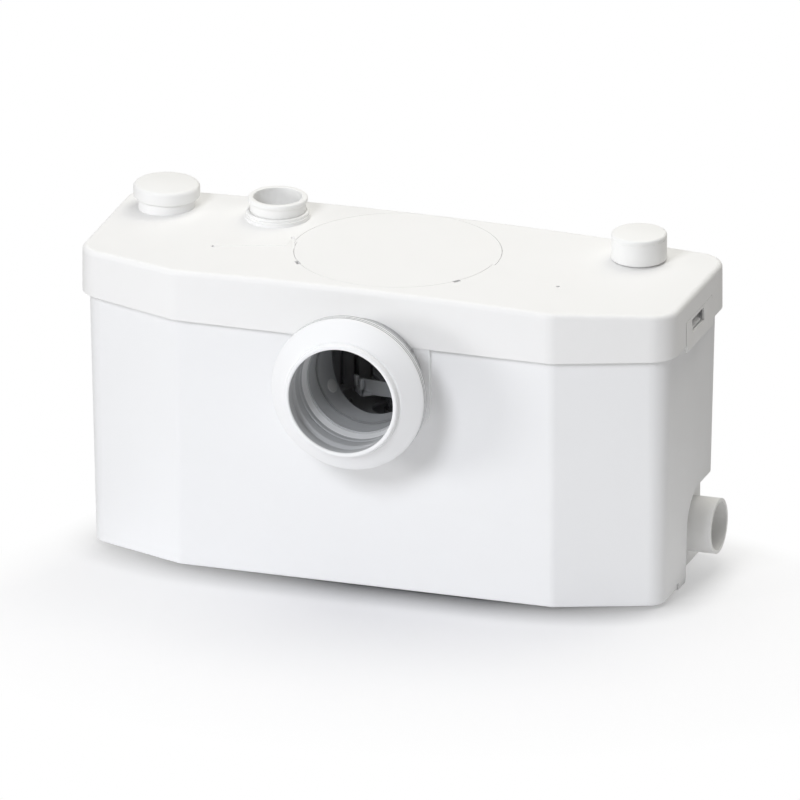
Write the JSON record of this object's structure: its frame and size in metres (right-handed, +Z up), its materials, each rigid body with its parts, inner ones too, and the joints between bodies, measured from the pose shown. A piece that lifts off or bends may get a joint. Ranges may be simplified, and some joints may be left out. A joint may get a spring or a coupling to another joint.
{
  "type": "macerator toilet pump",
  "caption": "White floor-standing macerator pump with clip-on lid, soft front pan connector, side waste spigots, vent cap, discharge collar, cutter and pump inside.",
  "frame": {"origin": "middle of the floor area that the whole unit covers", "axes": "+Z up, -Y towards the pan (the soft connector's mouth), +X along the unit towards the spigot that the picture shows"},
  "size_m": [0.5254, 0.2404, 0.2858],
  "materials": {
    "white_body": "gloss",
    "white_lid": "gloss",
    "white_trim": "gloss",
    "white_rubber": "satin",
    "black_rubber": "matt",
    "black_plastic": "matt",
    "grey_plastic": "satin",
    "light_grey_plastic": "satin",
    "stainless": "brushed",
    "electrical_steel": "satin",
    "bearing_steel": "polished",
    "aluminium_casting": "cast",
    "copper_winding": "satin",
    "ceramic_seal": "satin",
    "carbon": "matt"
  },
  "bodies": {
    "tank": {"tank": "white_body", "wc_sleeve": "white_rubber", "side_inlet_right": "white_trim", "side_inlet_left": "white_trim", "side_nut_right": "light_grey_plastic", "side_nut_left": "light_grey_plastic", "rubber_feet": "black_rubber", "lid_seal": "black_rubber", "diaphragm": "black_rubber", "pump_mounts": "black_rubber", "sleeve_clamp": "stainless", "clamp_screw": "stainless", "flap_pins": "stainless", "check_valve_pin": "stainless", "pump_screws": "stainless", "basket_screws": "stainless", "switch_box_screws": "stainless", "motor_can": "stainless", "capacitor_clip": "stainless", "pump_cover": "grey_plastic", "pump_volute": "grey_plastic", "grinder_basket": "black_plastic", "inlet_tube": "light_grey_plastic", "discharge_riser": "grey_plastic", "check_valve_body": "grey_plastic", "pressure_chamber": "grey_plastic", "switch_box": "black_plastic", "switch_box_cover": "black_plastic", "microswitch": "black_plastic", "capacitor": "light_grey_plastic", "terminal_block": "light_grey_plastic", "motor_top_plate": "aluminium_casting", "bearing_lower": "bearing_steel", "bearing_upper": "bearing_steel", "seal_lower": "ceramic_seal", "seal_upper": "ceramic_seal", "stator": "electrical_steel", "stator_windings": "copper_winding", "cable_gland": "grey_plastic", "gland_nut": "grey_plastic"},
    "service_cover": {"service_cover": "white_lid"},
    "latch_right": {"latch_right": "white_lid"},
    "latch_left": {"latch_left": "white_lid"},
    "vent_cap": {"vent_cap": "white_trim"},
    "inlet_cap": {"inlet_cap": "white_trim"},
    "side_plug_left": {"side_plug_left": "white_trim"},
    "flap_right": {"flap_right": "black_rubber"},
    "flap_left": {"flap_left": "black_rubber"},
    "check_valve_flap": {"check_valve_flap": "black_rubber"},
    "switch_plunger": {"switch_plunger": "light_grey_plastic"},
    "rotor": {"shaft": "stainless", "rotor_core": "electrical_steel", "impeller": "black_plastic", "impeller_screw": "stainless", "cutter_blade": "stainless", "blade_nut": "stainless"},
    "lid": {"lid": "white_lid", "carbon_filter": "carbon", "discharge_collar": "white_trim", "collar_seal": "black_rubber"}
  },
  "joints": [
    {"name": "lid_lift", "type": "slide", "parent": "tank", "child": "lid", "axis": [0, 0, 1], "range_m": [0, 0.09]},
    {"name": "service_cover_lift", "type": "slide", "parent": "lid", "child": "service_cover", "axis": [0, 0, 1], "range_m": [0, 0.04]},
    {"name": "vent_cap_pull", "type": "slide", "parent": "lid", "child": "vent_cap", "axis": [0, 0, 1], "range_m": [0, 0.025]},
    {"name": "inlet_cap_pull", "type": "slide", "parent": "lid", "child": "inlet_cap", "axis": [0, 0, 1], "range_m": [0, 0.03]},
    {"name": "latch_right_flex", "type": "hinge", "parent": "lid", "child": "latch_right", "pos_m": [0.2557, 0.0402, 0.2415], "axis": [0, -1, 0], "range_deg": [0, 6], "stiffness_Nm_per_rad": 0.6},
    {"name": "latch_left_flex", "type": "hinge", "parent": "lid", "child": "latch_left", "pos_m": [-0.2557, 0.0402, 0.2415], "axis": [0, 1, 0], "range_deg": [0, 6], "stiffness_Nm_per_rad": 0.6},
    {"name": "side_plug_pull", "type": "slide", "parent": "tank", "child": "side_plug_left", "axis": [-1, 0, 0], "range_m": [0, 0.02]},
    {"name": "rotor_spin", "type": "hinge", "parent": "tank", "child": "rotor", "pos_m": [0, 0.0272, 0.12], "axis": [0, 0, 1], "continuous": true},
    {"name": "flap_right_swing", "type": "hinge", "parent": "tank", "child": "flap_right", "pos_m": [0.2201, 0.0752, 0.0572], "axis": [0, 1, 0], "range_deg": [0, 55]},
    {"name": "flap_left_swing", "type": "hinge", "parent": "tank", "child": "flap_left", "pos_m": [-0.2201, 0.0752, 0.0572], "axis": [0, -1, 0], "range_deg": [0, 55]},
    {"name": "check_valve_swing", "type": "hinge", "parent": "tank", "child": "check_valve_flap", "pos_m": [-0.1324, 0.0772, 0.2015], "axis": [0, -1, 0], "range_deg": [0, 65]},
    {"name": "switch_plunger_push", "type": "slide", "parent": "tank", "child": "switch_plunger", "axis": [0, 0, 1], "range_m": [0, 0.0017], "stiffness_N_per_m": 120}
  ]
}
